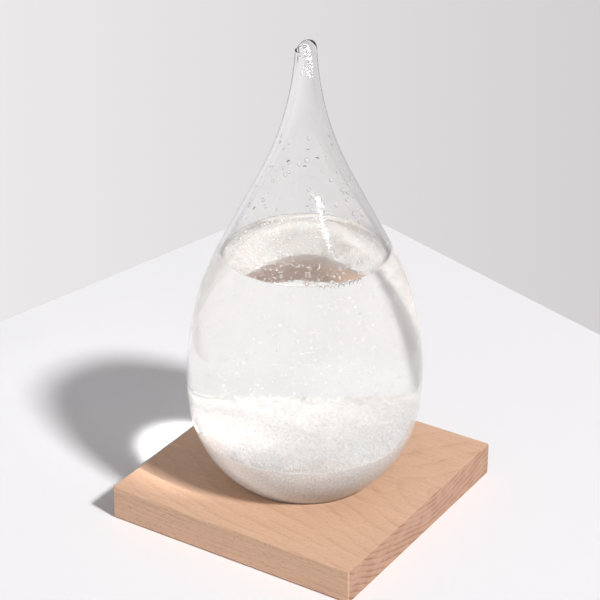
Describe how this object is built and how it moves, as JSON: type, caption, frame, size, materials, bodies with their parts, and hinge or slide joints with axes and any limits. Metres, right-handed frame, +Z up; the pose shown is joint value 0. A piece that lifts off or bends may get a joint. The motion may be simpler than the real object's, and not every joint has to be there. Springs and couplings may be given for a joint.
{
  "type": "storm glass",
  "caption": "Teardrop storm glass: a sealed blown glass drop with solution and white crystals, resting loose in a round seat in a square wooden base.",
  "frame": {"origin": "bottom centre of the wooden base, on the surface it stands on", "axes": "+Z up along the drop's axis, -Y out of the long-grain front face of the base, +X out of its end-grain face"},
  "size_m": [0.135, 0.135, 0.2399],
  "materials": {
    "beech": "matt",
    "clear_glass": "polished",
    "solution": "clear liquid",
    "crystal": "sugary"
  },
  "bodies": {
    "base": {"wooden_base": "beech"},
    "drop": {"glass_drop": "clear_glass", "storm_solution": "solution", "crystal_bed": "crystal", "crystal_feathers": "crystal", "tip_crystals": "crystal", "condensation_beads": "solution"}
  },
  "joints": [
    {"name": "drop_lift", "type": "slide", "parent": "base", "child": "drop", "axis": [0, 0, 1], "range_m": [0, 0.06]}
  ]
}
